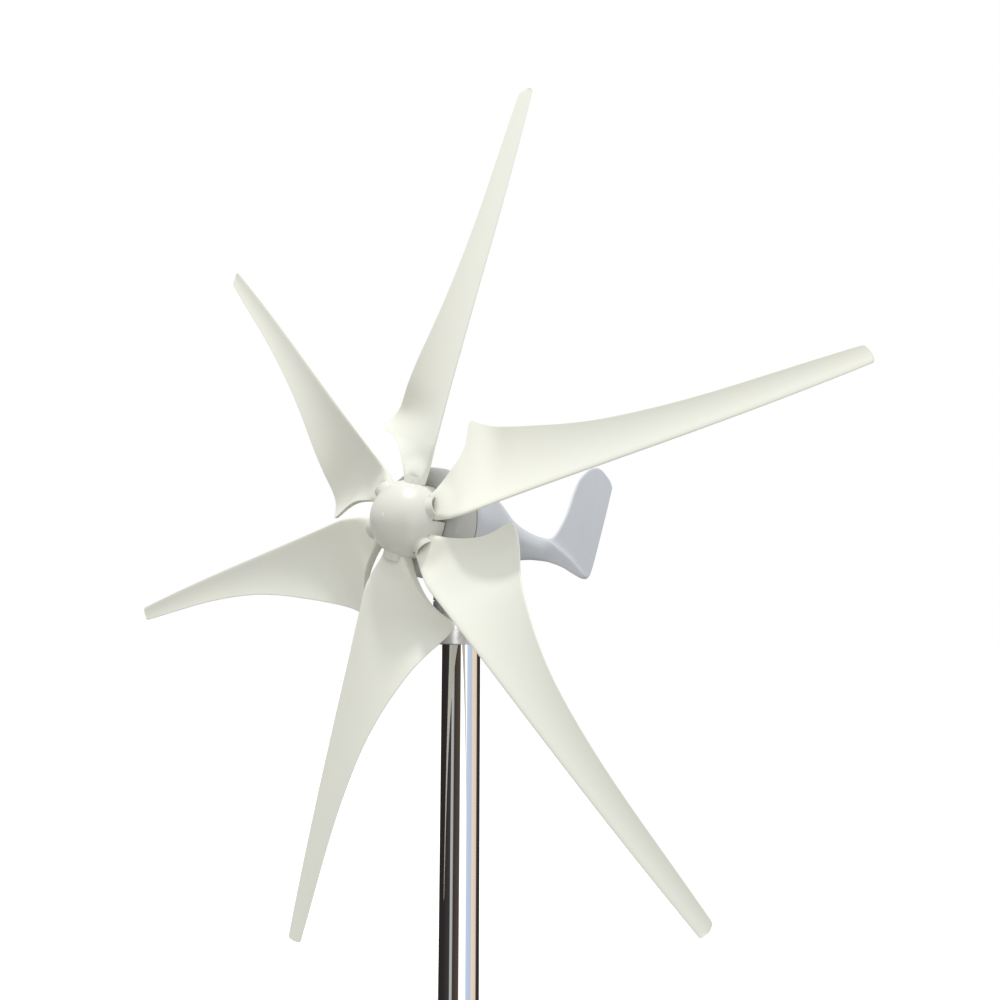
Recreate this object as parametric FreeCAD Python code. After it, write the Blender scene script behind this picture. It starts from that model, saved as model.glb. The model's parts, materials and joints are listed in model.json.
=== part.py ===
import FreeCAD, Part
import math
import os

# Small six-bladed wind turbine on a short length of steel mast. Millimetres, +Z up.
# The origin is the centre of the mast's foot. The nose points to -Y and the tail to +Y.
# Helpers with "rotor" in their name take stations measured back from the rotor plane.

V = FreeCAD.Vector

# ---- driving dimensions -------------------------------------------------------------
HUB_HEIGHT = 760.0        # mast foot to rotor axis
OVERHANG = 126.0          # mast axis to rotor plane
ROTOR_RADIUS = 620.0
BLADES = 6
FIRST_BLADE_ANGLE = 10.4  # from +X towards +Z, to the leading corner of the first tip

MAST_RADIUS = 28.5
MAST_WALL = 2.0
SPIGOT_RADIUS = 28.0      # of the mast's top, turned down to seat in the yaw base
SOCKET_DEPTH = 40.0
NECK_RADIUS = 42.5
NECK_BOTTOM = HUB_HEIGHT - 174.0
NECK_SPLIT = HUB_HEIGHT - 110.0
NECK_GAP = 1.5

SPINNER_RADIUS = 55.0
SPINNER_WALL = 2.5
CASING_RADIUS = 81.0
CASING_WALL = 4.0
CASING_SPLIT = 50.0       # station of the joint between the two casings
GASKET = 2.4
SHAFT_RADIUS = 8.5
YAW_SHAFT_RADIUS = 17.5
RUN = 0.3                 # gap between parts that turn past each other


# ---- helpers ------------------------------------------------------------------------
def export(name, *solids):
    """Write one named piece, or one group of equal pieces, as a STEP file."""
    shape = solids[0] if len(solids) == 1 else Part.makeCompound(list(solids))
    if not shape.isValid():
        raise ValueError("invalid shape: " + name)
    shape.exportStep("parts/" + name + ".step")
    print("%-26s %8.1f cm3 %3d solids" % (name, shape.Volume / 1000, len(shape.Solids)))


def rotor_point(station, radius=0.0, angle=0.0):
    """A point at a station behind the rotor plane, and a radius and angle about its axis."""
    turn = math.radians(angle)
    return V(radius * math.cos(turn), station - OVERHANG, HUB_HEIGHT + radius * math.sin(turn))


def rotor_disc(radius, front, back, hole=0.0, centre=(0.0, 0.0)):
    """A disc about the rotor axis, or about a parallel line at (radius, angle)."""
    foot = rotor_point(front, *centre)
    disc = Part.makeCylinder(radius, back - front, foot, V(0, 1, 0))
    if hole:
        disc = disc.cut(Part.makeCylinder(hole, back - front, foot, V(0, 1, 0)))
    return disc


def mast_disc(radius, low, high, hole=0.0):
    """A disc about the mast axis between two heights."""
    disc = Part.makeCylinder(radius, high - low, V(0, 0, low))
    if hole:
        disc = disc.cut(Part.makeCylinder(hole, high - low, V(0, 0, low)))
    return disc


def turned(shape, angle):
    """The shape turned about the rotor axis, from +X towards +Z."""
    copy = shape.copy()
    copy.rotate(rotor_point(0), V(0, -1, 0), angle)
    return copy


def ring_of(shape, count, first=0.0):
    """Equal copies of a shape, evenly spaced about the rotor axis."""
    return [turned(shape, first + 360.0 * i / count) for i in range(count)]


def cut_all(shape, tools):
    for tool in tools:
        shape = shape.cut(tool)
    return shape


def fuse_all(shapes):
    return shapes[0].fuse(shapes[1:]).removeSplitter()


def rotor_revolve(outline):
    """A solid of revolution about the rotor axis from (station, radius) corners."""
    corners = [rotor_point(station, radius) for station, radius in outline]
    face = Part.Face(Part.makePolygon(corners + corners[:1]))
    return face.revolve(rotor_point(0), V(0, 1, 0), 360)


def smooth_revolve(front, back, outline):
    """A solid of revolution whose outer wall is one smooth curve through the points."""
    wall = Part.BSplineCurve()
    wall.interpolate([rotor_point(station, radius) for station, radius in outline])
    ends = [rotor_point(*outline[-1]), rotor_point(back), rotor_point(front), rotor_point(*outline[0])]
    edges = [wall.toShape()]
    edges += [Part.makeLine(a, b) for a, b in zip(ends, ends[1:]) if (a - b).Length > 1e-6]
    return Part.Face(Part.Wire(edges)).revolve(rotor_point(0), V(0, 1, 0), 360)


# ---- blades -------------------------------------------------------------------------
BLADE_TIP_PITCH = 3.5
BLADE_ROOT_PITCH = 19.5
BLADE_WIDEST = 140.0      # radius where the blade is widest
LUG_FRONT = -9.0          # stations of the flat root lug, clamped to the hub
LUG_BACK = -3.0
LUG_HALF_WIDTH = 16.5
LUG_INNER = 31.0

# radius, leading edge offset, leading edge station, pitch, chord, width of the raw skin
BLADE_SECTIONS = [
    (30, -19.0, -6.0, 0.0, 38, 60),
    (60, -21.0, -9.5, 6.0, 48, 84),
    (85, -24.0, -16.0, 14.0, 66, 112),
    (110, -25.5, -20.5, 18.5, 105, 140),
]
for radius, chord, width in ((140, 133, 148), (190, 99, 114), (250, 75, 88), (330, 53, 66),
                             (450, 36, 48), (ROTOR_RADIUS + 10, 23, 34)):
    outboard = (ROTOR_RADIUS - radius) / (ROTOR_RADIUS - 100.0)
    twist = max(0.0, (ROTOR_RADIUS - radius) / (ROTOR_RADIUS - BLADE_WIDEST)) ** 4
    pitch = BLADE_TIP_PITCH + (BLADE_ROOT_PITCH - BLADE_TIP_PITCH) * twist
    BLADE_SECTIONS.append((radius, -26.0 * outboard, -21.5 * outboard, pitch, chord, width))

# (radius, offset) of the trailing outline: neck, scooped root edge, wide corner, swept edge
BLADE_TRAILING = [(52, 21), (66, 30.5), (80, 43), (91, 54.5), (100, 67), (106, 81), (110.5, 96), (113.5, 107.5),
                  (118, 112.6), (125, 109.8), (137, 102), (156, 91.8), (196, 75.2), (228, 64.5), (264, 53.2),
                  (330, 38.5), (450, 27), (613, 23)]
RIM_WIDTH = 2.5           # of the flange behind the scooped root edge
RIM_DEPTH = 9.0
RIM_POINTS = 6            # points of the trailing outline that the flange follows

SKIN_KNOTS = [0.0, 0.03, 0.15, 0.4, 0.75, 1.0]   # shares of the skin's width


def blade_section(radius, lead, lead_station, pitch, chord, width, depth=0.0):
    """Closed section of the cambered blade skin, for a blade that points along +X."""
    lean = math.radians(pitch)
    half = 1.3 + 1.9 * min(1.0, (ROTOR_RADIUS + 10 - radius) / 500.0)
    along = V(0, math.sin(lean), math.cos(lean))
    across = V(0, math.cos(lean), -math.sin(lean))
    start = V(radius, lead_station - OVERHANG, HUB_HEIGHT + lead)
    sides = []
    for side in (-1, 1):
        points = [start]
        for part in SKIN_KNOTS[1:]:
            run = part * width
            camber = 0.22 * chord * (run / chord) * (1 - run / chord)
            thick = half * (0.55 if part == SKIN_KNOTS[1] else 1.0) * (1.0 - 0.45 * part)
            back = thick + depth if side > 0 else -thick
            points.append(start + along * run + across * (camber + back))
        curve = Part.BSplineCurve()
        curve.interpolate(Points=points, Parameters=SKIN_KNOTS)
        sides.append((curve, points[-1]))
    closing = Part.makeLine(sides[0][1], sides[1][1])
    return Part.Wire([sides[0][0].toShape(), closing, sides[1][0].toShape()])


def blade_outline():
    """Flat outline of the blade, seen along the rotor axis, extruded through the skin."""
    def at(radius, offset):
        return V(radius, -OVERHANG - 80, HUB_HEIGHT + offset)
    trailing = Part.BSplineCurve()
    trailing.interpolate([at(*point) for point in BLADE_TRAILING])
    tip = Part.Arc(at(613, 23), at(618.5, 20.5), at(ROTOR_RADIUS - 0.3, 14)).toShape()
    rest = [at(ROTOR_RADIUS - 0.3, 14), at(ROTOR_RADIUS - 1.5, 3), at(ROTOR_RADIUS - 5, 0),
            at(110, -25.5), at(82, -23.5), at(60, -LUG_HALF_WIDTH), at(LUG_INNER, -LUG_HALF_WIDTH),
            at(LUG_INNER, LUG_HALF_WIDTH), at(50, LUG_HALF_WIDTH), at(52, 21)]
    edges = [trailing.toShape(), tip] + [Part.makeLine(a, b) for a, b in zip(rest, rest[1:])]
    return Part.Face(Part.Wire(edges)).extrude(V(0, 160, 0))


def make_rim():
    """Flange that stiffens the scooped root edge from behind, and fades out towards the corner."""
    sections = [blade_section(*section, RIM_DEPTH * fade)
                for section, fade in zip(BLADE_SECTIONS, (1.0, 1.0, 0.8, 0.15, 0.1))]
    outer = BLADE_TRAILING[:RIM_POINTS]
    inner = [(radius + 0.4 * RIM_WIDTH, offset - RIM_WIDTH) for radius, offset in outer]
    corners = [V(radius, -OVERHANG - 80, HUB_HEIGHT + offset) for radius, offset in outer + inner[::-1]]
    strip = Part.Face(Part.makePolygon(corners + corners[:1])).extrude(V(0, 160, 0))
    return Part.makeLoft(sections, True, False, False, 2).common(strip).common(blade_outline())


BOLT_RADIUS = 3.0
BOLT_PLACES = [(38.1, -13.7), (38.1, 13.7)]   # (radius, angle) from a blade's own line


def make_blade():
    """One moulded blade: twisted skin, half-round stem and flat root lug with two holes."""
    skin = Part.makeLoft([blade_section(*section) for section in BLADE_SECTIONS], True, False, False, 2)
    blade = skin.common(blade_outline())
    inner = Part.makeBox(60, 60, 60, V(0, -OVERHANG - 30, HUB_HEIGHT - 30))
    blade = blade.cut(inner)
    lug = Part.makeBox(62, LUG_BACK - LUG_FRONT, 2 * LUG_HALF_WIDTH,
                       V(LUG_INNER, LUG_FRONT - OVERHANG, HUB_HEIGHT - LUG_HALF_WIDTH))
    lug = lug.common(blade_outline())
    stem = Part.makeCone(9.0, 2.0, 34, V(49, -8.0 - OVERHANG, HUB_HEIGHT), V(1, 0.06, 0.12))
    blade = fuse_all([blade, lug, stem, make_rim()])
    holes = [rotor_disc(BOLT_RADIUS + 0.2, -30, 30, centre=place) for place in BOLT_PLACES]
    return cut_all(blade, holes)


# ---- spinner and hub ----------------------------------------------------------------
HOOD_RADIUS = 15.5
HOOD_STATION = -9.0
HOOD_WALL = 2.0
HOOD_END = SPINNER_RADIUS + 5.0
SLOT_FRONT = LUG_FRONT - 4.0
SPINNER_BACK = 12.0
POST_PLACES = [(24.0, 30.0 + 120.0 * i) for i in range(3)]
PLATE_FRONT = LUG_FRONT - 4.0
HUB_BACK = LUG_BACK + 10.0


def radial_tube(radius, inner, outer, station):
    return Part.makeCylinder(radius, outer - inner, V(inner, station - OVERHANG, HUB_HEIGHT), V(1, 0, 0))


def dome(radius):
    """Solid half ball, with its centre just behind the rotor plane, on a short skirt."""
    arc = Part.Arc(rotor_point(1 - radius), rotor_point(1 - radius * math.sqrt(0.5), radius * math.sqrt(0.5)),
                   rotor_point(1, radius)).toShape()
    corners = [rotor_point(1, radius), rotor_point(SPINNER_BACK, radius), rotor_point(SPINNER_BACK),
               rotor_point(1 - radius)]
    edges = [arc] + [Part.makeLine(a, b) for a, b in zip(corners, corners[1:])]
    return Part.Face(Part.Wire(edges)).revolve(rotor_point(0), V(0, 1, 0), 360)


def make_spinner():
    """Domed nose with a hood over each blade root and three screw posts inside."""
    hood = radial_tube(HOOD_RADIUS, 40, HOOD_END, HOOD_STATION)
    shell = dome(SPINNER_RADIUS).fuse(ring_of(hood, BLADES, FIRST_BLADE_ANGLE))
    shell = shell.cut(dome(SPINNER_RADIUS - SPINNER_WALL))
    tunnel = radial_tube(HOOD_RADIUS - HOOD_WALL, 20, 70, HOOD_STATION)
    slot = Part.makeBox(60, SPINNER_BACK + 10 - SLOT_FRONT, 2 * LUG_HALF_WIDTH + 3,
                        V(20, SLOT_FRONT - OVERHANG, HUB_HEIGHT - LUG_HALF_WIDTH - 1.5))
    for tool in ring_of(tunnel, BLADES, FIRST_BLADE_ANGLE) + ring_of(slot, BLADES, FIRST_BLADE_ANGLE):
        shell = shell.cut(tool)
    posts = [rotor_disc(4.5, -50, PLATE_FRONT, centre=place) for place in POST_PLACES]
    posts = [post.common(dome(SPINNER_RADIUS - 1)) for post in posts]
    spinner = fuse_all([shell] + posts)
    return cut_all(spinner, [rotor_disc(2.0, -32, PLATE_FRONT, centre=place) for place in POST_PLACES])


def hub_holes():
    holes = []
    for place in BOLT_PLACES:
        holes += ring_of(rotor_disc(BOLT_RADIUS, -40, 40, centre=place), BLADES, FIRST_BLADE_ANGLE)
    return holes + [rotor_disc(2.0, -40, 40, centre=place) for place in POST_PLACES]


def make_fasteners():
    """Blade bolts with their nuts, and the three spinner screws driven from behind."""
    bolts, nuts = [], []
    for place in BOLT_PLACES:
        head = rotor_disc(5.0, PLATE_FRONT - 5, PLATE_FRONT, centre=place)
        socket = rotor_disc(2.5, PLATE_FRONT - 5, PLATE_FRONT - 2, centre=place)
        shank = rotor_disc(BOLT_RADIUS, PLATE_FRONT, HUB_BACK + 5.5, centre=place)
        bolts += ring_of(head.cut(socket).fuse(shank), BLADES, FIRST_BLADE_ANGLE)
        nut = hex_prism(5.0, HUB_BACK, HUB_BACK + 5, place, BOLT_RADIUS)
        nuts += ring_of(nut, BLADES, FIRST_BLADE_ANGLE)
    screws = []
    for place in POST_PLACES:
        shank = rotor_disc(2.0, -30, HUB_BACK, centre=place)
        head = rotor_disc(3.8, HUB_BACK, HUB_BACK + 3, centre=place)
        screws.append(shank.fuse(head))
    return bolts, nuts, screws


def hex_prism(apothem, front, back, centre, hole):
    """A hexagonal nut about a line parallel to the rotor axis."""
    corner = apothem / math.cos(math.pi / 6)
    middle = rotor_point(front, *centre)
    turns = [math.radians(60 * i) for i in range(7)]
    ring = [middle + V(corner * math.cos(t), 0, corner * math.sin(t)) for t in turns]
    nut = Part.Face(Part.makePolygon(ring)).extrude(V(0, back - front, 0))
    return nut.cut(rotor_disc(hole, front, back, centre=centre))


def build_rotor():
    blade = make_blade()
    for i, piece in enumerate(ring_of(blade, BLADES, FIRST_BLADE_ANGLE)):
        export("blade_%d" % (i + 1), piece)
    export("spinner", make_spinner())
    export("hub", cut_all(rotor_disc(47, LUG_BACK, HUB_BACK, SHAFT_RADIUS), hub_holes()))
    export("clamp_plate", cut_all(rotor_disc(44, PLATE_FRONT, LUG_FRONT, SHAFT_RADIUS), hub_holes()))
    bolts, nuts, screws = make_fasteners()
    export("blade_bolts", *bolts)
    export("blade_nuts", *nuts)
    export("spinner_screws", *screws)
    washer_front = PLATE_FRONT - 2
    export("hub_washer", rotor_disc(14, washer_front, PLATE_FRONT, SHAFT_RADIUS))
    export("hub_nut", hex_prism(12, washer_front - 9, washer_front, (0, 0), SHAFT_RADIUS))
    export("hub_spacer", rotor_disc(13, HUB_BACK, FRONT_BEARING, SHAFT_RADIUS),
           rotor_disc(12.5, LUG_FRONT, LUG_BACK, SHAFT_RADIUS))


# ---- generator ----------------------------------------------------------------------
BEARING_WIDTH = 12.0
BEARING_RADIUS = 20.0
FRONT_BEARING = 19.0
REAR_BEARING = 68.0
CASING_FRONT = 14.0
BULKHEAD = 64.0
MAGNETS = 12
TEETH = 12
STATOR_RADIUS = 66.0
AIR_GAP = 46.0            # radius of the stator's inner face
MAGNET_RADIUS = 44.8
ROTOR_CORE_RADIUS = 38.0
CORE_FRONT = 35.0
CORE_BACK = 60.0


def make_shaft():
    shoulder = rotor_disc(10.5, FRONT_BEARING + BEARING_WIDTH, REAR_BEARING)
    return fuse_all([rotor_disc(SHAFT_RADIUS, -28, REAR_BEARING + BEARING_WIDTH + 2), shoulder])


def bearing(front, make_disc, shaft, outer, width, ball, count):
    """Inner ring, outer ring and balls of a deep-groove ball bearing."""
    pitch = (shaft + outer) / 2
    inner = make_disc(pitch - ball - RUN, front, front + width, shaft)
    case = make_disc(outer, front, front + width, pitch + ball + RUN)
    return inner, case, [(pitch, 360.0 * i / count) for i in range(count)]


def shaft_bearings():
    inner, outer, balls = [], [], []
    for front in (FRONT_BEARING, REAR_BEARING):
        ring, case, places = bearing(front, rotor_disc, SHAFT_RADIUS, BEARING_RADIUS, BEARING_WIDTH, 3.3, 8)
        inner.append(ring)
        outer.append(case)
        middle = front + BEARING_WIDTH / 2
        balls += [Part.makeSphere(3.3, rotor_point(middle, *place)) for place in places]
    return inner, outer, balls


def make_magnets():
    bar = rotor_disc(MAGNET_RADIUS, CORE_FRONT, CORE_BACK, ROTOR_CORE_RADIUS)
    wedge = Part.makeBox(100, 100, 18, V(0, -OVERHANG, HUB_HEIGHT - 9))
    return ring_of(bar.common(wedge), MAGNETS)


def make_stator():
    """Laminated ring with inward teeth, and one coil round each tooth."""
    tooth = Part.makeBox(14, CORE_BACK - CORE_FRONT, 9, V(AIR_GAP, CORE_FRONT - OVERHANG, HUB_HEIGHT - 4.5))
    ring = rotor_disc(STATOR_RADIUS, CORE_FRONT, CORE_BACK, 58)
    core = fuse_all([ring] + ring_of(tooth, TEETH)).cut(rotor_disc(AIR_GAP, CORE_FRONT, CORE_BACK))
    coil = Part.makeBox(8, CORE_BACK - CORE_FRONT + 6, 19,
                        V(AIR_GAP + 3, CORE_FRONT - 3 - OVERHANG, HUB_HEIGHT - 9.5))
    coil = coil.cut(tooth)
    return core, ring_of(coil, TEETH)


SCREW_PLACES = [(72.0, 45.0 + 90.0 * i) for i in range(4)]


def make_front_casing():
    """Bell-shaped front shell with the front bearing's seat in its boss."""
    outer = smooth_revolve(CASING_FRONT, CASING_SPLIT, [
        (CASING_FRONT, 56), (16, 66), (22, 74.5), (34, 79.2), (CASING_SPLIT, CASING_RADIUS)])
    room = rotor_revolve([(CASING_FRONT + CASING_WALL, 0), (CASING_FRONT + CASING_WALL, 60), (26, 70),
                          (33, 74), (CASING_SPLIT, 74), (CASING_SPLIT, 0)])
    boss = rotor_disc(26, CASING_FRONT, FRONT_BEARING + BEARING_WIDTH)
    shell = outer.cut(room).fuse(boss)
    shell = shell.cut(rotor_disc(BEARING_RADIUS, CASING_FRONT, FRONT_BEARING + BEARING_WIDTH))
    ears = [rotor_disc(7, 24, CASING_SPLIT, centre=place) for place in SCREW_PLACES]
    ears = [ear.common(outer).cut(rotor_disc(74, CORE_FRONT, CASING_SPLIT)) for ear in ears]
    shell = fuse_all([shell] + ears)
    holes = [rotor_disc(2.5, 0, CASING_SPLIT, centre=place) for place in SCREW_PLACES]
    heads = [rotor_disc(4.6, 0, 28, centre=place) for place in SCREW_PLACES]
    return cut_all(shell, holes + heads)


# ---- frame that joins the generator to the yaw bearing --------------------------------
YAW_BEARING_RADIUS = 31.0
YAW_BEARING_WIDTH = 14.0
YAW_BEARINGS = (NECK_SPLIT + 6.0, NECK_SPLIT + 50.0)
HOUSING_TOP = YAW_BEARINGS[1] + YAW_BEARING_WIDTH + 4
HOUSING_RADIUS = 38.0
NECK_TOP = HUB_HEIGHT - 66.0


def make_frame():
    """Rear end shield of the generator, cast in one with the yaw housing and its webs."""
    rim = rotor_disc(76, CASING_SPLIT + GASKET, BULKHEAD + 5, STATOR_RADIUS)
    shield = rotor_disc(76, BULKHEAD, BULKHEAD + 5)
    boss = rotor_disc(26, BULKHEAD, REAR_BEARING + BEARING_WIDTH)
    housing = mast_disc(HOUSING_RADIUS, NECK_TOP, HOUSING_TOP)
    neck = mast_disc(NECK_RADIUS, NECK_SPLIT + NECK_GAP, NECK_TOP)
    deck = Part.makeBox(64, OVERHANG - BULKHEAD - 8, 8, V(-32, BULKHEAD - OVERHANG, HUB_HEIGHT - 64))
    webs = [Part.makeBox(6, OVERHANG - BULKHEAD - 36, 34, V(x, BULKHEAD - OVERHANG, HUB_HEIGHT - 64))
            for x in (-32, 26)]
    frame = fuse_all([rim, shield, boss, housing, neck, deck] + webs)
    frame = frame.cut(rotor_disc(BEARING_RADIUS, REAR_BEARING, 90))
    frame = frame.cut(rotor_disc(12, BULKHEAD - 5, REAR_BEARING))
    frame = frame.cut(mast_disc(YAW_BEARING_RADIUS, NECK_SPLIT, YAW_BEARINGS[0] + YAW_BEARING_WIDTH))
    frame = frame.cut(mast_disc(YAW_BEARING_RADIUS, YAW_BEARINGS[1], HOUSING_TOP))
    frame = frame.cut(mast_disc(YAW_BEARING_RADIUS - 4, NECK_SPLIT, HOUSING_TOP))
    holes = [rotor_disc(2.5, CASING_SPLIT, 90, centre=place) for place in SCREW_PLACES]
    slots = [rotor_disc(9, BULKHEAD - 1, 90, centre=(50, 90 * i)) for i in range(3)]
    return cut_all(frame, holes + slots)


# ---- tail -----------------------------------------------------------------------------
# station, top, bottom, half-width of the hollow casing that tapers into the boom
TAIL_SECTIONS = [
    (CASING_SPLIT + GASKET, 81, -81, 81), (100, 79, -79, 79), (150, 67, -70, 66), (200, 49, -56, 47),
    (245, 32, -44, 30), (290, 20, -36, 19), (335, 12, -31.5, 12.5), (380, 8, -31, 9),
]
# station, top, ridge height, bottom, half-width of the solid keel under the fin
KEEL_SECTIONS = [(380, 8, -3, -31, 9), (430, 4, -12, -38, 8), (480, -14, -30, -47, 6), (530, -46, -50, -54.5, 2.6)]
FIN_THICKNESS = 5.0
FIN_FRONT = [(380, 9.5), (392, 11.4), (404.7, 15.4), (416.5, 22.7), (442, 46.7), (465, 75), (485, 107),
             (509, 137), (542, 160), (560, 168.6), (580, 174.3), (591, 175.8), (606, 174.3)]
FIN_BACK = [(651, 140), (595, 37), (550, -38.5)]


def oval(station, top, bottom, half, inset=0.0):
    """Elliptical section across the tail at one station."""
    middle = rotor_point(station) + V(0, 0, (top + bottom) / 2)
    tall = (top - bottom) / 2 - inset
    wide = half - inset
    curve = Part.BSplineCurve()
    turns = [math.radians(22.5 * i) for i in range(16)]
    curve.interpolate([middle + V(wide * math.cos(t), 0, tall * math.sin(t)) for t in turns],
                      PeriodicFlag=True)
    return Part.Wire(curve.toShape())


def make_fin():
    """Swept tail fin, thick along its keel and thin at its upper lobe."""
    def at(station, height):
        return rotor_point(station) + V(0, 0, height)
    front = Part.BSplineCurve()
    front.interpolate([at(*point) for point in FIN_FRONT])
    crown = Part.makeLine(at(*FIN_FRONT[-1]), at(640, 160))
    corner = Part.Arc(at(640, 160), at(649, 152.5), at(*FIN_BACK[0])).toShape()
    back = [at(*point) for point in FIN_BACK]
    heel = Part.Arc(at(*FIN_BACK[-1]), at(540.5, -50), at(522, -54)).toShape()
    keel = Part.BSplineCurve()
    keel.interpolate([at(522, -54), at(460, -43.5), at(402, -33), at(380, -31)])
    edges = [front.toShape(), crown, corner] + [Part.makeLine(a, b) for a, b in zip(back, back[1:])]
    edges += [heel, keel.toShape(), Part.makeLine(at(380, -31), at(*FIN_FRONT[0]))]
    half = V(FIN_THICKNESS / 2, 0, 0)
    plate = Part.Face(Part.Wire(edges))
    plate.translate(half * -1)
    return plate.extrude(half * 2)


def make_keel():
    """Three-sided keel that carries the boom's width down into the fin's heel."""
    wires = []
    for station, top, ridge, bottom, half in KEEL_SECTIONS:
        corners = [V(0, 0, top), V(half, 0, ridge), V(0, 0, bottom), V(-half, 0, ridge)]
        corners = [rotor_point(station) + corner for corner in corners]
        wires.append(Part.makePolygon(corners + corners[:1]))
    return Part.makeLoft(wires, True, True)


def make_tail():
    """Rear casing, boom and fin, moulded as one piece."""
    outer = Part.makeLoft([oval(*section) for section in TAIL_SECTIONS], True, False)
    inner = Part.makeLoft([oval(*section, inset=CASING_WALL) for section in TAIL_SECTIONS[:5]], True, False)
    tail = outer.cut(inner)
    tail = tail.cut(mast_disc(NECK_RADIUS + 0.5, NECK_SPLIT - 50, HUB_HEIGHT - 40))
    tail = tail.fuse([make_fin(), make_keel()])
    return tail.removeSplitter()


def make_casing_screws():
    screws = []
    for place in SCREW_PLACES:
        head = rotor_disc(4.3, 23, 28, centre=place).cut(rotor_disc(2.2, 23, 25.5, centre=place))
        screws.append(head.fuse(rotor_disc(2.5, 28, BULKHEAD + 8, centre=place)))
    return screws


# ---- yaw base, mast and slip rings ------------------------------------------------------
YAW_NUT = YAW_BEARINGS[1] + YAW_BEARING_WIDTH
SLIP_LOW = YAW_NUT + 12.0
SLIP_RINGS = 3
SLIP_PITCH = 11.0
SLIP_RADIUS = 26.0
YAW_TOP = SLIP_LOW + SLIP_RINGS * SLIP_PITCH + 6.0
SET_SCREW_ANGLES = (150.0, 270.0, 30.0)


def radial_pin(radius, inner, outer, height, angle):
    turn = math.radians(angle)
    way = V(math.cos(turn), math.sin(turn), 0)
    return Part.makeCylinder(radius, outer - inner, way * inner + V(0, 0, height), way)


def make_yaw_base():
    """Cast sleeve: mast socket below, yaw shaft seat above, three clamping screw holes."""
    base = mast_disc(NECK_RADIUS, NECK_BOTTOM, NECK_SPLIT, YAW_SHAFT_RADIUS)
    base = base.cut(mast_disc(SPIGOT_RADIUS, NECK_BOTTOM, NECK_BOTTOM + SOCKET_DEPTH))
    rim = [edge for edge in base.Edges if abs(edge.Length - 2 * math.pi * NECK_RADIUS) < 0.1]
    base = base.makeChamfer(0.8, rim)
    height = NECK_BOTTOM + SOCKET_DEPTH / 2
    return cut_all(base, [radial_pin(4, 20, 60, height, angle) for angle in SET_SCREW_ANGLES])


def make_set_screws():
    height = NECK_BOTTOM + SOCKET_DEPTH / 2
    screws = []
    for angle in SET_SCREW_ANGLES:
        screw = radial_pin(4, SPIGOT_RADIUS, NECK_RADIUS - 2, height, angle)
        screw = screw.cut(mast_disc(SPIGOT_RADIUS, NECK_BOTTOM, NECK_SPLIT))
        screws.append(screw.cut(radial_pin(2, NECK_RADIUS - 6, NECK_RADIUS, height, angle)))
    return screws


def yaw_bearings():
    inner, outer, balls = [], [], []
    for low in YAW_BEARINGS:
        ring, case, places = bearing(low, mast_disc, YAW_SHAFT_RADIUS, YAW_BEARING_RADIUS,
                                     YAW_BEARING_WIDTH, 3.8, 12)
        inner.append(ring)
        outer.append(case)
        for radius, angle in places:
            turn = math.radians(angle)
            centre = V(radius * math.cos(turn), radius * math.sin(turn), low + YAW_BEARING_WIDTH / 2)
            balls.append(Part.makeSphere(3.8, centre))
    return inner, outer, balls


def build_generator():
    core, coils = make_stator()
    export("generator_shaft", make_shaft())
    export("magnet_rotor_core", rotor_disc(ROTOR_CORE_RADIUS, CORE_FRONT, CORE_BACK, 10.5))
    export("magnets", *make_magnets())
    export("stator_core", core)
    export("stator_coils", *coils)
    inner, outer, balls = shaft_bearings()
    export("shaft_bearing_inner_rings", *inner)
    export("shaft_bearing_outer_rings", *outer)
    export("shaft_bearing_balls", *balls)
    export("shaft_seal", rotor_disc(BEARING_RADIUS, CASING_FRONT, FRONT_BEARING, 13.1))
    export("front_casing", make_front_casing())
    gasket = rotor_disc(CASING_RADIUS - 1.2, CASING_SPLIT, CASING_SPLIT + GASKET, 68)
    holes = [rotor_disc(2.5, 0, 90, centre=place) for place in SCREW_PLACES]
    export("casing_gasket", cut_all(gasket, holes))
    export("casing_screws", *make_casing_screws())
    export("generator_frame", make_frame())
    export("tail_casing", make_tail())


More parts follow.
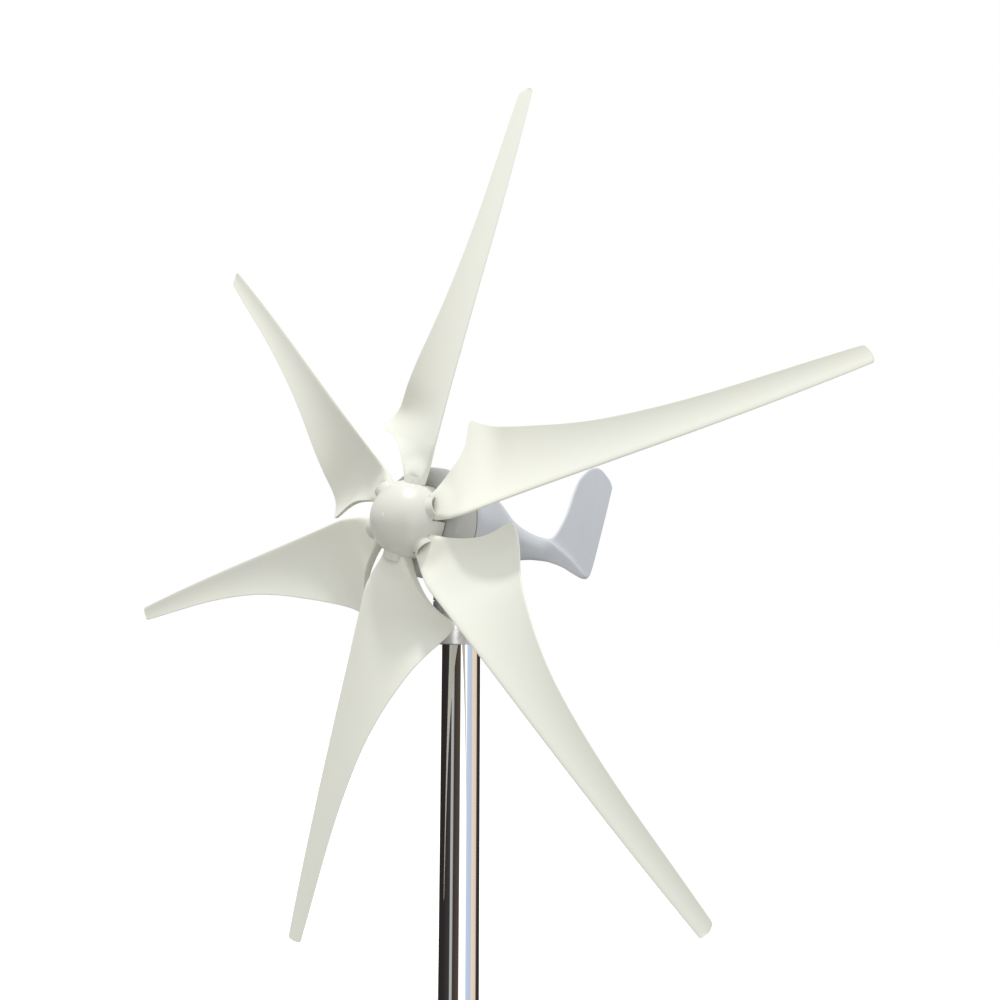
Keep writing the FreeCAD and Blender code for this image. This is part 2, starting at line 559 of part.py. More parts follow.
def build_yaw():
    bore = MAST_RADIUS - MAST_WALL
    spigot = mast_disc(SPIGOT_RADIUS, NECK_BOTTOM, NECK_BOTTOM + SOCKET_DEPTH, bore)
    export("mast", fuse_all([mast_disc(MAST_RADIUS, 0, NECK_BOTTOM, bore), spigot]))
    export("yaw_base", make_yaw_base())
    export("set_screws", *make_set_screws())
    export("yaw_shaft", mast_disc(YAW_SHAFT_RADIUS, NECK_BOTTOM + SOCKET_DEPTH, YAW_TOP, 10))
    export("yaw_seal", mast_disc(NECK_RADIUS - 2.5, NECK_SPLIT, NECK_SPLIT + NECK_GAP - RUN, 30))
    inner, outer, balls = yaw_bearings()
    spacer_low = YAW_BEARINGS[0] + YAW_BEARING_WIDTH
    export("yaw_bearing_inner_rings", *inner)
    export("yaw_bearing_outer_rings", *outer)
    export("yaw_bearing_balls", *balls)
    export("yaw_spacers", mast_disc(20, spacer_low, YAW_BEARINGS[1], YAW_SHAFT_RADIUS),
           mast_disc(20, NECK_SPLIT, YAW_BEARINGS[0], YAW_SHAFT_RADIUS))
    export("yaw_nut", mast_disc(25, YAW_NUT, YAW_NUT + 9, YAW_SHAFT_RADIUS))
    sleeve = mast_disc(23, SLIP_LOW, YAW_TOP, YAW_SHAFT_RADIUS)
    export("slip_ring_sleeve", sleeve)
    heights = [SLIP_LOW + 4 + SLIP_PITCH * i for i in range(SLIP_RINGS)]
    export("slip_rings", *[mast_disc(SLIP_RADIUS, low, low + 6, 23) for low in heights])
    brush_face = -SLIP_RADIUS - RUN
    export("brushes", *[Part.makeBox(7, 9, 4.4, V(-3.5, brush_face - 9, low + 0.8)) for low in heights])
    block_back = brush_face - 5
    block_front = BULKHEAD + 5 - OVERHANG
    block = Part.makeBox(20, block_back - block_front, YAW_TOP - SLIP_LOW, V(-10, block_front, SLIP_LOW))
    block = block.cut(rotor_disc(26, 0, REAR_BEARING + BEARING_WIDTH + 3))
    pockets = [Part.makeBox(7, 4, 4.4, V(-3.5, brush_face - 9, low + 0.8)) for low in heights]
    export("brush_block", cut_all(block, pockets))


os.makedirs("parts", exist_ok=True)
build_rotor()
build_generator()
build_yaw()
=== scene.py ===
"""Small six-bladed wind turbine: the looks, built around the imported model."""
import math

import bmesh
import bpy
from mathutils import Matrix, Vector
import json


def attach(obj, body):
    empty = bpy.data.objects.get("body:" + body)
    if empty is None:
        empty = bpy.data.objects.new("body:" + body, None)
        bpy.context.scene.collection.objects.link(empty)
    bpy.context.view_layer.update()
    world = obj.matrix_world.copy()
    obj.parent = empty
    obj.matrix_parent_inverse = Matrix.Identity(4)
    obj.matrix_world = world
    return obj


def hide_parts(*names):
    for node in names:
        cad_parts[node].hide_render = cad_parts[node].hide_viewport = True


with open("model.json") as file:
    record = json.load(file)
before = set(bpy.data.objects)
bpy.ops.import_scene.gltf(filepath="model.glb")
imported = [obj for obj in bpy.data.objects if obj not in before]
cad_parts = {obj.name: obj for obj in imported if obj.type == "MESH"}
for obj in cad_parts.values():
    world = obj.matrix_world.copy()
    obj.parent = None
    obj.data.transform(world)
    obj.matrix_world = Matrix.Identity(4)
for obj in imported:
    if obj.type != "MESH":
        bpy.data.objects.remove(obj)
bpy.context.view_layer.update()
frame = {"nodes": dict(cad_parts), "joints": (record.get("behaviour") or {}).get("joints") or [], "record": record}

MM = 0.001
JOINTS = {joint["name"]: joint for joint in frame["joints"]}
HUB = Vector(JOINTS["rotor_spin"]["pos_m"])
SLOT_OF = {part["node"]: part["material_slot"] for part in frame["record"]["subparts"]}
BLADES = 6
FIRST_BLADE_ANGLE = 10.4                        # degrees from +X towards the top


def turned_towards(place, look):
    """The matrix that puts a camera or lamp at a place and turns it to a direction."""
    return Matrix.Translation(place) @ look.to_track_quat("-Z", "Y").to_matrix().to_4x4()


# ---- camera -----------------------------------------------------------------------------
LENS = 29.25                                    # millimetres, on a 36 mm sensor
CAMERA_FROM_HUB = Vector((0.7290, -0.8686, -0.1627))
CAMERA_LOOK = Vector((-0.54498, 0.82189, 0.16580))


def aim_camera():
    """Close view from the right of the nose and a little below the hub, with a short lens."""
    camera = bpy.data.cameras.new("camera")
    camera.sensor_width = 36.0
    camera.lens = LENS
    camera.clip_start = 0.05
    camera.clip_end = 100.0
    seat = bpy.data.objects.new("camera", camera)
    bpy.context.scene.collection.objects.link(seat)
    seat.matrix_world = turned_towards(HUB + CAMERA_FROM_HUB, CAMERA_LOOK)
    bpy.context.scene.camera = seat


aim_camera()


# ---- node helpers -----------------------------------------------------------------------
class Surface:
    """A material with one Principled shader, and short calls for the patterns that feed it."""

    def __init__(self, name, color, roughness, metallic=0.0, **sockets):
        self.material = bpy.data.materials.new(name)
        self.material.use_nodes = True
        self.tree = self.material.node_tree
        self.shader = self.tree.nodes["Principled BSDF"]
        self.color = color
        self.roughness = roughness
        self.shader.inputs["Base Color"].default_value = (*color, 1)
        self.shader.inputs["Roughness"].default_value = roughness
        self.shader.inputs["Metallic"].default_value = metallic
        for socket, value in sockets.items():
            self.shader.inputs[socket.replace("_", " ")].default_value = value
        self.where = self.node("ShaderNodeTexCoord").outputs["Object"]

    def node(self, kind, **settings):
        made = self.tree.nodes.new(kind)
        for key, value in settings.items():
            setattr(made, key, value)
        return made

    def link(self, output, socket):
        self.tree.links.new(output, socket)

    def noise(self, scale, detail=3.0, stretch=(1, 1, 1)):
        """Noise with a grain of about 1/scale metres, stretched along any axis."""
        mapping = self.node("ShaderNodeMapping")
        mapping.inputs["Scale"].default_value = stretch
        self.link(self.where, mapping.inputs["Vector"])
        texture = self.node("ShaderNodeTexNoise")
        texture.inputs["Scale"].default_value = scale
        texture.inputs["Detail"].default_value = detail
        self.link(mapping.outputs["Vector"], texture.inputs["Vector"])
        return texture.outputs["Fac"]

    def spread(self, value, low, high):
        """The part of a noise where nearly all its values lie, mapped to low and high."""
        ramp = self.node("ShaderNodeMapRange")
        limits = {"From Min": 0.3, "From Max": 0.7, "To Min": low, "To Max": high}
        for socket, number in limits.items():
            ramp.inputs[socket].default_value = number
        self.link(value, ramp.inputs["Value"])
        return ramp.outputs["Result"]

    def tint(self, value, other, share=1.0):
        """Base colour drifts towards another colour where the pattern is high."""
        mix = self.node("ShaderNodeMix", data_type="RGBA")
        self.link(self.spread(value, 0.0, share), mix.inputs["Factor"])
        mix.inputs["A"].default_value = (*self.color, 1)
        mix.inputs["B"].default_value = (*other, 1)
        self.link(mix.outputs["Result"], self.shader.inputs["Base Color"])
        return self

    def rub(self, value, change):
        """Roughness varies by the change either way."""
        low, high = self.roughness - change, self.roughness + change
        self.link(self.spread(value, max(0.02, low), min(1.0, high)), self.shader.inputs["Roughness"])
        return self

    def bump(self, value, depth, strength=1.0):
        """Relief of a depth in metres. A second call adds its relief to the first."""
        relief = self.node("ShaderNodeBump")
        relief.inputs["Strength"].default_value = strength
        relief.inputs["Distance"].default_value = depth
        self.link(value, relief.inputs["Height"])
        before = self.shader.inputs["Normal"].links
        if before:
            self.link(before[0].from_socket, relief.inputs["Normal"])
        self.link(relief.outputs["Normal"], self.shader.inputs["Normal"])
        return self


# ---- finishes ---------------------------------------------------------------------------
def blade_nylon():
    skin = Surface("blade_nylon", (0.775, 0.785, 0.715), 0.42, Coat_Weight=0.12, Coat_Roughness=0.3)
    skin.tint(skin.noise(7.0, 2.0), (0.80, 0.795, 0.70), 0.6)
    skin.rub(skin.noise(60.0, 4.0), 0.06)
    skin.bump(skin.noise(9.0, 2.0), 0.0012, 0.25)
    return skin.bump(skin.noise(900.0, 2.0), 0.00006, 0.5).material


def spinner_white():
    skin = Surface("spinner_white", (0.65, 0.645, 0.59), 0.36, Coat_Weight=0.2, Coat_Roughness=0.2)
    skin.tint(skin.noise(18.0, 2.0), (0.675, 0.665, 0.605), 0.5)
    skin.rub(skin.noise(80.0, 4.0), 0.05)
    return skin.bump(skin.noise(1000.0, 2.0), 0.00005, 0.4).material


def painted_casting(name, color, other):
    skin = Surface(name, color, 0.4, Coat_Weight=0.15, Coat_Roughness=0.25)
    skin.tint(skin.noise(14.0, 3.0), other, 0.6)
    skin.rub(skin.noise(70.0, 4.0), 0.07)
    skin.bump(skin.noise(25.0, 2.0), 0.0006, 0.25)
    return skin.bump(skin.noise(700.0, 3.0), 0.00008, 0.6).material


def front_shell_white():
    return painted_casting("front_shell_white", (0.48, 0.49, 0.475), (0.52, 0.52, 0.50))


def tail_shell_grey():
    return painted_casting("tail_shell_grey", (0.505, 0.535, 0.575), (0.53, 0.56, 0.60))


def cast_aluminium():
    metal = Surface("cast_aluminium", (0.58, 0.58, 0.57), 0.34, 1.0)
    metal.tint(metal.noise(40.0, 4.0), (0.51, 0.51, 0.51), 0.5)
    metal.rub(metal.noise(160.0, 4.0), 0.06)
    metal.bump(metal.noise(120.0, 2.0, (0.1, 0.1, 12)), 0.0001, 0.8)
    return metal.bump(metal.noise(1100.0, 4.0), 0.00008, 0.4).material


def polished_stainless():
    metal = Surface("polished_stainless", (0.86, 0.85, 0.84), 0.05, 1.0)
    metal.tint(metal.noise(10.0, 2.0), (0.83, 0.82, 0.80), 0.5)
    metal.rub(metal.noise(300.0, 3.0, (1, 1, 0.02)), 0.025)
    return metal.bump(metal.noise(500.0, 2.0, (1, 1, 0.01)), 0.00001, 0.3).material


def turned_steel(name, color, roughness=0.3):
    metal = Surface(name, color, roughness, 1.0)
    dark = tuple(0.82 * part for part in color)
    metal.tint(metal.noise(90.0, 3.0), dark, 0.6)
    metal.rub(metal.noise(400.0, 3.0), 0.08)
    return metal.bump(metal.noise(900.0, 2.0, (0.15, 1, 1)), 0.00005, 0.5).material


def stainless_fasteners():
    return turned_steel("stainless_fasteners", (0.58, 0.58, 0.57))


def black_oxide_steel():
    return turned_steel("black_oxide_steel", (0.06, 0.06, 0.065), 0.38)


def machined_steel():
    return turned_steel("machined_steel", (0.52, 0.52, 0.53), 0.26)


def bearing_steel():
    return turned_steel("bearing_steel", (0.68, 0.68, 0.70), 0.12)


def nickel_magnet():
    return turned_steel("nickel_magnet", (0.62, 0.60, 0.56), 0.18)


def slip_ring_brass():
    return turned_steel("slip_ring_brass", (0.72, 0.53, 0.24), 0.2)


def enamelled_copper():
    wire = Surface("enamelled_copper", (0.55, 0.20, 0.08), 0.3, 0.85, Coat_Weight=0.6)
    wire.tint(wire.noise(60.0, 3.0), (0.42, 0.14, 0.06), 0.8)
    return wire.bump(wire.noise(700.0, 1.0, (1, 0.05, 1)), 0.0004, 0.8).material


def lamination_steel():
    stack = Surface("lamination_steel", (0.20, 0.20, 0.215), 0.5, 0.8)
    stack.tint(stack.noise(30.0, 3.0), (0.15, 0.13, 0.12), 0.7)
    return stack.bump(stack.noise(1500.0, 1.0, (0.02, 1, 0.02)), 0.0002, 0.8).material


def black_rubber():
    rubber = Surface("black_rubber", (0.022, 0.022, 0.022), 0.72)
    rubber.tint(rubber.noise(50.0, 3.0), (0.035, 0.034, 0.033), 0.8)
    return rubber.bump(rubber.noise(800.0, 3.0), 0.00012, 0.6).material


def dark_insulator():
    plastic = Surface("dark_insulator", (0.04, 0.035, 0.03), 0.5)
    plastic.tint(plastic.noise(60.0, 3.0), (0.06, 0.05, 0.04), 0.7)
    return plastic.bump(plastic.noise(900.0, 2.0), 0.00008, 0.5).material


def carbon_brush():
    carbon = Surface("carbon_brush", (0.05, 0.05, 0.052), 0.55, 0.2)
    carbon.tint(carbon.noise(200.0, 3.0), (0.09, 0.09, 0.09), 0.7)
    return carbon.bump(carbon.noise(1200.0, 3.0), 0.0001, 0.6).material


MAKERS = [blade_nylon, spinner_white, front_shell_white, tail_shell_grey, cast_aluminium,
          polished_stainless, stainless_fasteners, black_oxide_steel, machined_steel, bearing_steel,
          nickel_magnet, slip_ring_brass, enamelled_copper, lamination_steel, black_rubber,
          dark_insulator, carbon_brush]
FINISHES = {maker.__name__: maker() for maker in MAKERS}


def dress_cad_nodes():
    for name, node in frame["nodes"].items():
        for slot in node.material_slots:
            slot.material = FINISHES[SLOT_OF[name]]


dress_cad_nodes()


# ---- mesh helpers -----------------------------------------------------------------------
SAME_PLACE = 1e-7               # metres within which two points of a skin are one
SAME_PLACE_CAD = 2e-6           # and two corners of a CAD node's loose triangles
SHARP_ABOVE = math.radians(32)
ROUNDED_ABOVE = math.radians(50)
EDGE_ROUND = 0.45 * MM


def smooth_table(table, at):
    """Value at a place in a table of (place, value) pairs, by a curve that never overshoots."""
    places = [pair[0] for pair in table]
    values = [pair[1] for pair in table]
    if at <= places[0]:
        return values[0]
    if at >= places[-1]:
        return values[-1]
    i = max(k for k in range(len(places) - 1) if places[k] <= at)
    slopes = [(values[k + 1] - values[k]) / (places[k + 1] - places[k]) for k in range(len(places) - 1)]

    def tangent(k):
        if k == 0 or k == len(places) - 1:
            return slopes[min(k, len(slopes) - 1)]
        before, after = slopes[k - 1], slopes[k]
        return 0.0 if before * after <= 0 else 2 * before * after / (before + after)

    width = places[i + 1] - places[i]
    t = (at - places[i]) / width
    return ((1 + 2 * t) * (1 - t) ** 2 * values[i] + t * (1 - t) ** 2 * width * tangent(i)
            + t * t * (3 - 2 * t) * values[i + 1] + t * t * (t - 1) * width * tangent(i + 1))


def fair(edge0, edge1, x):
    """0 at edge0, 1 at edge1, and a smooth ramp between."""
    t = min(1.0, max(0.0, (x - edge0) / (edge1 - edge0)))
    return t * t * (3 - 2 * t)


def quarter_round(share):
    """A quarter circle's height: 0 where the share is 0, and 1 from 1 on."""
    share = min(1.0, share)
    return math.sqrt(share * (2 - share))


def wrapped_skin(name, around, stations, place):
    """A grid rolled into a closed skin: place(turn, station) gives each vertex, turn runs 0 to 1."""
    mesh = bmesh.new()
    rows = len(stations)
    bmesh.ops.create_grid(mesh, x_segments=around, y_segments=rows - 1, size=0.5)
    for vertex in mesh.verts:
        turn = round((vertex.co.x + 0.5) * around) / around
        row = round((vertex.co.y + 0.5) * (rows - 1))
        vertex.co = place(turn, stations[row])
    bmesh.ops.remove_doubles(mesh, verts=mesh.verts, dist=SAME_PLACE)
    bmesh.ops.holes_fill(mesh, edges=mesh.edges, sides=0)
    bmesh.ops.recalc_face_normals(mesh, faces=mesh.faces)
    return as_object(name, mesh)


def as_object(name, mesh):
    """A smooth-shaded object with this mesh, at the origin."""
    data = bpy.data.meshes.new(name)
    mesh.to_mesh(data)
    mesh.free()
    data.shade_smooth()
    piece = bpy.data.objects.new(name, data)
    bpy.context.scene.collection.objects.link(piece)
    return piece


def refine(piece, levels=1):
    """Subdivision that shows the same in the view and in the render."""
    step = piece.modifiers.new("refine", "SUBSURF")
    step.levels = levels
    step.render_levels = levels


def merged_copy(name, node):
    """A CAD node's shape as one smooth mesh, with its sharp edges kept and slightly rounded."""
    mesh = bmesh.new()
    mesh.from_mesh(frame["nodes"][node].data)
    bmesh.ops.remove_doubles(mesh, verts=mesh.verts, dist=SAME_PLACE_CAD)
    piece = as_object(name, mesh)
    piece.data.set_sharp_from_angle(angle=SHARP_ABOVE)
    edge = piece.modifiers.new("edge", "BEVEL")
    edge.limit_method = "ANGLE"
    edge.angle_limit = ROUNDED_ABOVE
    edge.width = EDGE_ROUND
    edge.segments = 2
    edge.harden_normals = True
    return piece


def finish_as(piece, body, slot, *nodes):
    """Give a piece its finish and the body that it rides on, and hide the CAD nodes that it stands for."""
    piece.data.materials.append(FINISHES[slot])
    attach(piece, body)
    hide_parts(*nodes)


# ---- blades -----------------------------------------------------------------------------
# (radius, value) tables of one blade, in millimetres and degrees, from hub to tip
TIP = 620.0
LEAD_EDGE = [(31, -16.5), (46, -16.5), (60, -19), (80, -23), (110, -25.5), (140, -24), (TIP - 3, -0.1),
             (TIP - 1, 0.8), (TIP, 3.6)]
TRAIL_EDGE = [(31, 16.5), (46, 17.5), (52, 21), (66, 30.5), (80, 43), (91, 54.5), (100, 67), (106, 80),
              (109.5, 92), (111.5, 101), (113.2, 107.5), (115, 111.2), (118, 112.6), (121, 111.8),
              (125, 109.6), (137, 102), (156, 91.8), (196, 75.2), (228, 64.5), (264, 53.2), (330, 38.5),
              (450, 27), (TIP - 7, 23), (TIP - 4.8, 22), (TIP - 2, 16.5), (TIP, 11.5)]
LEAD_STATION = [(31, -6), (46, -6.5), (60, -9.5), (85, -16), (110, -20.5), (140, -19.8), (TIP, 0)]
PITCH = [(31, 0), (46, 1), (60, 6), (85, 14), (110, 18.5), (140, 19.5), (190, 13.8), (250, 9.1),
         (330, 5.6), (450, 3.8), (TIP, 3.5)]
CHORD = [(31, 38), (60, 48), (85, 66), (110, 105), (140, 133), (190, 99), (250, 75), (330, 53), (450, 36),
         (TIP, 23)]
LEAD_HALF_THICK = [(31, 3), (60, 3.4), (140, 3.0), (250, 2.6), (450, 1.9), (TIP, 1.4)]
TRAIL_HALF_THICK = [(31, 3), (56, 3.2), (112, 3.0), (150, 1.6), (250, 1.2), (TIP, 0.9)]
FLANGE_DEPTH = [(46, 0), (54, 9), (80, 9), (98, 6), (112, 0.8), (120, 0)]   # behind the scooped edge
FLANGE_WIDTH = (6.0, 2.0)       # distances from the trailing edge where the flange begins and is full
CAMBER = 0.22
NOSE_ROUND = 7.0                # width over which the leading edge is rounded
HEEL_ROUND = 1.2                # and the trailing edge
NECK_SWELL = 6.0                # how far the front of the thick neck stands proud of the skin
NECK_CENTRE = (44.0, 4.0)
NECK_REACH = (18.0, 46.0)       # distances from the centre where the swelling starts to fall and ends
NECK_EDGE = 0.22                # share of the width over which the swelling is rounded off
BLADE_STATIONS = [31, 32, 38, 44, 47, 50, 53, 56, 60, 64, 69, 74, 79, 84, 89, 94, 98, 101.5, 104.5, 107, 109,
                  110.7, 112, 113.2, 114.3, 115.6, 117.2, 119, 121.5, 124.5, 128, 133, 139, 147, 156, 167,
                  180, 195, 212, 232, 256, 284, 318, 356, 400, 450, 505, 560, 598, 609, 613, 615, 616.5,
                  618, 619, 619.7, TIP]
BLADE_COLUMNS = 28


def blade_place(turn, radius):
    """A point on the blade's skin, for a blade along +X: front face first, then the back."""
    front = turn <= 0.5
    share = (1 - math.cos(2 * math.pi * min(turn, 1 - turn))) / 2
    lead, trail = smooth_table(LEAD_EDGE, radius), smooth_table(TRAIL_EDGE, radius)
    lean = math.radians(smooth_table(PITCH, radius))
    width = (trail - lead) / math.cos(lean)
    run = share * width
    left = width - run
    camber = CAMBER * run * (1 - run / smooth_table(CHORD, radius))
    thick = smooth_table(LEAD_HALF_THICK, radius) * (1 - share)
    thick += smooth_table(TRAIL_HALF_THICK, radius) * share
    thick *= quarter_round(run / min(NOSE_ROUND, 0.3 * width))
    thick *= quarter_round(left / min(HEEL_ROUND, 0.2 * width))
    flange = smooth_table(FLANGE_DEPTH, radius) * fair(*FLANGE_WIDTH, left)
    depth = camber + (-thick if front else thick + flange)
    upright = fair(FLANGE_WIDTH[0], 0.0, left)   # near the trailing edge the depth runs straight back
    offset = lead + run * math.cos(lean) - depth * math.sin(lean) * (1 - upright)
    station = smooth_table(LEAD_STATION, radius) + run * math.sin(lean) + depth * math.cos(lean)
    if front:
        reach = math.hypot(radius - NECK_CENTRE[0], offset - NECK_CENTRE[1])
        rounded = quarter_round(min(share, 1 - share) / NECK_EDGE)
        station -= NECK_SWELL * (1 - fair(*NECK_REACH, reach)) * rounded
    return Vector((radius, station, offset)) * MM


def make_blades():
    """One skin, copied and turned about the rotor axis, one for each CAD blade."""
    first = wrapped_skin("blade_skin", 2 * BLADE_COLUMNS, BLADE_STATIONS, blade_place)
    for i in range(BLADES):
        piece = first.copy()
        piece.data = first.data.copy()
        piece.name = "moulded_blade_%d" % (i + 1)
        bpy.context.scene.collection.objects.link(piece)
        turn = Matrix.Rotation(-math.radians(FIRST_BLADE_ANGLE + 360 / BLADES * i), 4, "Y")
        piece.data.transform(Matrix.Translation(HUB) @ turn)
        refine(piece)
        finish_as(piece, "rotor", "blade_nylon", "blade_%d" % (i + 1))
    bpy.data.objects.remove(first)


make_blades()


# ---- spinner ----------------------------------------------------------------------------
finish_as(merged_copy("moulded_spinner", "spinner"), "rotor", "spinner_white", "spinner")


# ---- tail -------------------------------------------------------------------------------
# (station behind the rotor plane, value) tables of the rear casing, boom and fin, in millimetres
TAIL_FRONT = 52.4
TAIL_TOP = [(TAIL_FRONT, 81), (100, 79), (150, 67), (200, 49), (245, 32), (290, 20), (335, 12.5),
            (376, 10.2), (392, 11.4), (404.7, 15.4), (416.5, 22.7), (442, 46.7), (465, 75), (485, 107),
            (509, 137), (542, 160), (560, 168.6), (580, 174.3), (591, 175.8), (606, 174.3), (623, 168),
            (640, 160), (646, 156), (650, 149.5), (651.5, 145), (652, 142)]
TAIL_BOTTOM = [(TAIL_FRONT, -81), (100, -79), (150, -70), (200, -56), (245, -44), (290, -36), (335, -32),
               (376, -31.2), (402, -33), (436, -37.2), (484, -48.3), (518, -54.2), (531, -53.5),
               (540, -49.8), (550, -38.5), (595, 37), (628, 95.5), (651, 138.5), (652, 140.5)]
TAIL_HALF_WIDTH = [(TAIL_FRONT, 81), (100, 79), (150, 66), (200, 47), (245, 30), (290, 19), (335, 12.5),
                   (380, 9.5), (402, 8.3), (430, 7.5), (462, 6.3), (500, 4.6), (531, 3.0), (560, 2.3)]
KEEL_RIDGE = [(335, 2), (369, 4), (402, -2.5), (462, -22), (531, -50), (545, -45), (595, 38), (651, 141)]
FIN_HALF_THICK = 2.3
KEEL_NARROWS = 0.85             # share of its width that the keel loses from its ridge to its foot
KEEL_COVE = 6.0                 # height in which the keel's width fades into the fin above its ridge
FIN_EDGE_ROUND = 4.0
FIN_BEGINS = (330, 410)         # stations between which the oval boom turns into keel and fin
LIP_DEPTH = 1.6                 # the front edge is drawn in a little along this length
LIP_SHARE = 0.018
TAIL_STATIONS = [TAIL_FRONT + step for step in (0, 0.5, 1.5, 4)]
TAIL_STATIONS += [*range(62, 330, 12), *range(330, 545, 6), *range(545, 645, 5), 647, 649, 650.5, 651.5, 652]
TAIL_COLUMNS = 44


def tail_half_width(station, height, top, bottom):
    """Half the tail's width at a height: an oval boom that turns into a ridged keel and a plate."""
    middle, tall = (top + bottom) / 2, (top - bottom) / 2
    wide = smooth_table(TAIL_HALF_WIDTH, station)
    oval = wide * math.sqrt(max(0.0, 1 - ((height - middle) / tall) ** 2))
    ridge = min(max(smooth_table(KEEL_RIDGE, station), bottom + 0.5), top)
    if height >= ridge:
        keeled = FIN_HALF_THICK + (wide - FIN_HALF_THICK) * math.exp((ridge - height) / KEEL_COVE)
    else:
        keeled = wide * (1 - KEEL_NARROWS * ((ridge - height) / (ridge - bottom)) ** 1.5)
    edge = min(top - height, height - bottom)
    keeled *= quarter_round(max(0.0, edge) / min(FIN_EDGE_ROUND, tall))
    share = fair(*FIN_BEGINS, station)
    return oval * (1 - share) + keeled * share


def tail_place(turn, station):
    """A point on the tail's skin: up the right side from the keel, then down the left."""
    top, bottom = smooth_table(TAIL_TOP, station), smooth_table(TAIL_BOTTOM, station)
    rise = -math.cos(2 * math.pi * min(turn, 1 - turn))
    height = (top + bottom) / 2 + (top - bottom) / 2 * rise
    half = tail_half_width(station, height, top, bottom)
    lip = 1 - LIP_SHARE * fair(LIP_DEPTH, 0.0, station - TAIL_FRONT)
    half, height = half * lip, height * lip
    return HUB + Vector((half if turn <= 0.5 else -half, station, height)) * MM


def make_tail():
    """Rear casing, boom and fin as the one moulding that they are."""
    tail = wrapped_skin("tail_and_rear_casing", 2 * TAIL_COLUMNS, TAIL_STATIONS, tail_place)
    refine(tail)
    finish_as(tail, "nacelle", "tail_shell_grey", "tail_casing")


make_tail()


# ---- floor ------------------------------------------------------------------------------
FLOOR_HALF = 30.0               # metres
FLOOR_GLOW = 0.22               # keeps the floor as white as the background


def make_floor():
    """A plain pale floor under the mast, seen by the camera but not mirrored in the part."""
    mesh = bmesh.new()
    bmesh.ops.create_grid(mesh, x_segments=1, y_segments=1, size=FLOOR_HALF)
    floor = as_object("studio_floor", mesh)
    paint = Surface("pale_floor", (0.96, 0.96, 0.96), 0.9, Emission_Strength=FLOOR_GLOW)
    paint.shader.inputs["Emission Color"].default_value = (1, 1, 1, 1)
    floor.data.materials.append(paint.material)
    floor.visible_diffuse = False
    floor.visible_glossy = False
    floor.visible_shadow = False


make_floor()


# ---- world and lights -------------------------------------------------------------------
# (azimuth from -Y towards +X in degrees, colour) of the panels that polished metal mirrors
PANELS = [(0, (0.05, 0.04, 0.035)), (34, (0.10, 0.075, 0.06)), (37, (1.6, 1.6, 1.6)), (72, (1.3, 1.3, 1.35)),
          (76, (0.62, 0.72, 0.90)), (106, (0.55, 0.66, 0.85)), (110, (0.95, 0.80, 0.66)),
          (148, (0.80, 0.66, 0.54)), (156, (0.04, 0.035, 0.03)), (216, (0.02, 0.02, 0.02)),
          (300, (0.03, 0.025, 0.025)), (340, (0.05, 0.05, 0.05)), (343, (0.55, 0.55, 0.55)),
          (356, (0.45, 0.45, 0.45)), (359, (0.05, 0.04, 0.035))]
PANELS_BELOW = 0.12             # only rays that climb less steeply than this meet them
BRIGHT_SIDE = (0.36, -0.12, 0.92)               # where the soft light is strongest
SOFT_LIGHT = [(0.0, (0.48, 0.465, 0.41)), (0.5, (0.785, 0.785, 0.78)), (1.0, (1.12, 1.12, 1.12))]
FULL_TURN = 2 * math.pi


class Studio:
    """The world's node tree, with short calls for its arithmetic, ramps and mixes."""

    def __init__(self, name):
        self.world = bpy.data.worlds.new(name)
        self.world.use_nodes = True
        self.tree = self.world.node_tree
        self.way = self.tree.nodes.new("ShaderNodeTexCoord").outputs["Generated"]
        self.path = self.tree.nodes.new("ShaderNodeLightPath").outputs
        split = self.tree.nodes.new("ShaderNodeSeparateXYZ")
        self.tree.links.new(self.way, split.inputs["Vector"])
        self.x, self.y, self.z = split.outputs

    def feed(self, value, socket):
        """Set a socket to a number or colour, or link another node's output to it."""
        if isinstance(value, bpy.types.NodeSocket):
            self.tree.links.new(value, socket)
        else:
            socket.default_value = value

    def count(self, operation, *values):
        step = self.tree.nodes.new("ShaderNodeMath")
        step.operation = operation
        for value, socket in zip(values, step.inputs):
            self.feed(value, socket)
        return step.outputs["Value"]

    def ramp(self, share, stops):
        """A colour ramp through (place, colour) stops, read at a share from 0 to 1."""
        made = self.tree.nodes.new("ShaderNodeValToRGB")
        steps = made.color_ramp.elements
        steps.remove(steps[1])
        steps[0].color = (*stops[0][1], 1)
        for place, color in stops[1:]:
            steps.new(place).color = (*color, 1)
        self.feed(share, made.inputs["Fac"])
        return made.outputs["Color"]

    def mix(self, share, color, other):
        made = self.tree.nodes.new("ShaderNodeMix")
        made.data_type = "RGBA"
        self.feed(share, made.inputs["Factor"])
        self.feed(color, made.inputs["A"])
        self.feed(other, made.inputs["B"])
        return made.outputs["Result"]


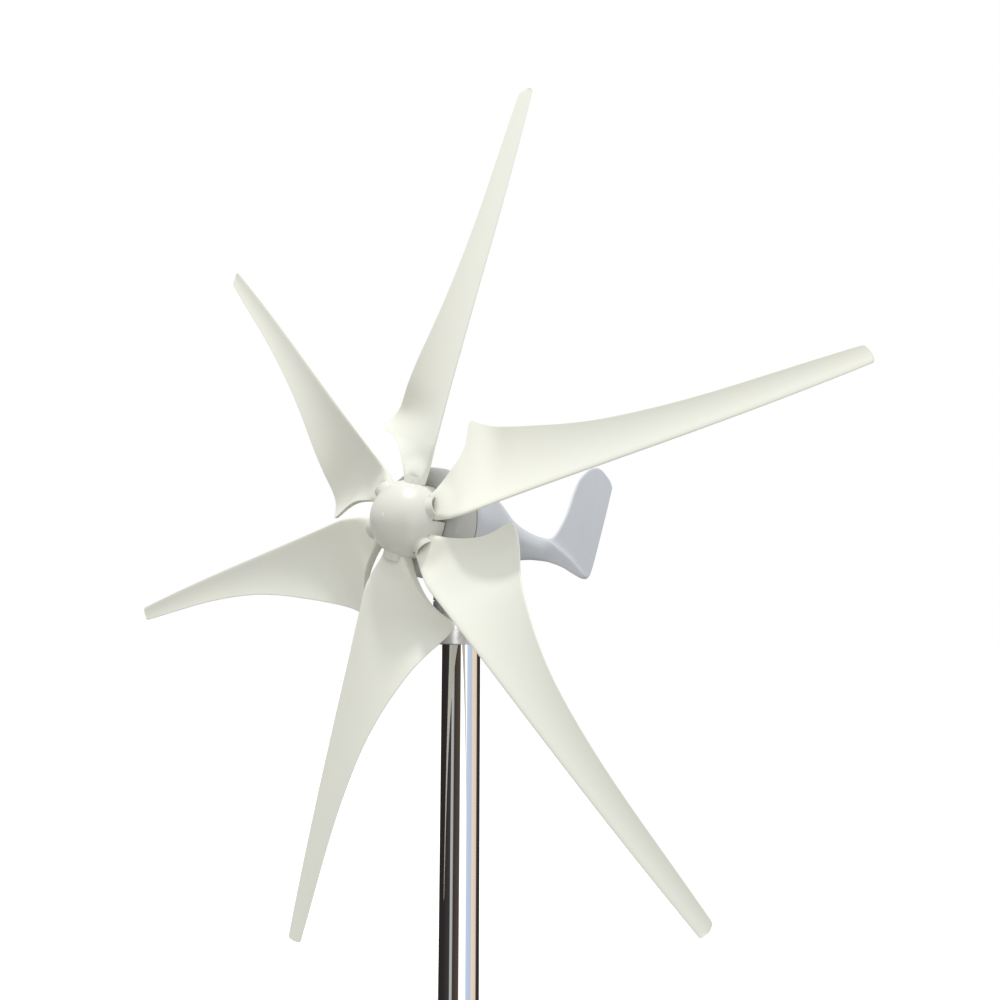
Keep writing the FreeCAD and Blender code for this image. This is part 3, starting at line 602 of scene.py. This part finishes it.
def soft_sky(studio):
    """Even light that grows towards the bright side."""
    lift = studio.tree.nodes.new("ShaderNodeVectorMath")
    lift.operation = "DOT_PRODUCT"
    studio.feed(studio.way, lift.inputs[0])
    studio.feed(BRIGHT_SIDE, lift.inputs[1])
    height = studio.count("MULTIPLY_ADD", lift.outputs["Value"], 0.5, 0.5)
    return studio.ramp(height, SOFT_LIGHT)


def panel_ring(studio):
    """The panels round the part, chosen by the azimuth of the ray."""
    azimuth = studio.count("ARCTAN2", studio.x, studio.count("MULTIPLY", studio.y, -1.0))
    share = studio.count("DIVIDE", studio.count("WRAP", azimuth, FULL_TURN, 0.0), FULL_TURN)
    return studio.ramp(share, [(angle / 360, color) for angle, color in PANELS])


def make_world():
    """White behind the part, soft even light on it, and panels in its reflections."""
    studio = Studio("studio")
    low = studio.count("LESS_THAN", studio.z, PANELS_BELOW)
    mirrored = studio.count("MULTIPLY", studio.path["Is Glossy Ray"], low)
    light = studio.mix(mirrored, soft_sky(studio), panel_ring(studio))
    seen = studio.mix(studio.path["Is Camera Ray"], light, (1, 1, 1, 1))
    studio.feed(seen, studio.tree.nodes["Background"].inputs["Color"])
    bpy.context.scene.world = studio.world
    bpy.context.scene.view_settings.view_transform = "Standard"


def soft_light(name, place, size, power):
    """A round lamp that faces the hub. Place and size are in metres, power in watts."""
    light = bpy.data.lights.new(name, "AREA")
    light.shape = "DISK"
    light.size = size
    light.energy = power
    lamp = bpy.data.objects.new(name, light)
    bpy.context.scene.collection.objects.link(lamp)
    lamp.matrix_world = turned_towards(Vector(place), HUB - Vector(place))
    return lamp


def streak_light(place, size, power, *nodes):
    """A lamp that only draws a bright streak on the named bare castings."""
    lamp = soft_light("sheen", place, size, power)
    lamp.visible_diffuse = False
    lamp.data.use_shadow = False
    lit = bpy.data.collections.new("streaked")
    for name in nodes:
        lit.objects.link(frame["nodes"][name])
    lamp.light_linking.receiver_collection = lit


make_world()
soft_light("key", (0.66, -1.02, 3.86), 0.32, 58)
streak_light((0.62, -2.5, 1.2), 0.25, 14, "generator_frame", "yaw_base")
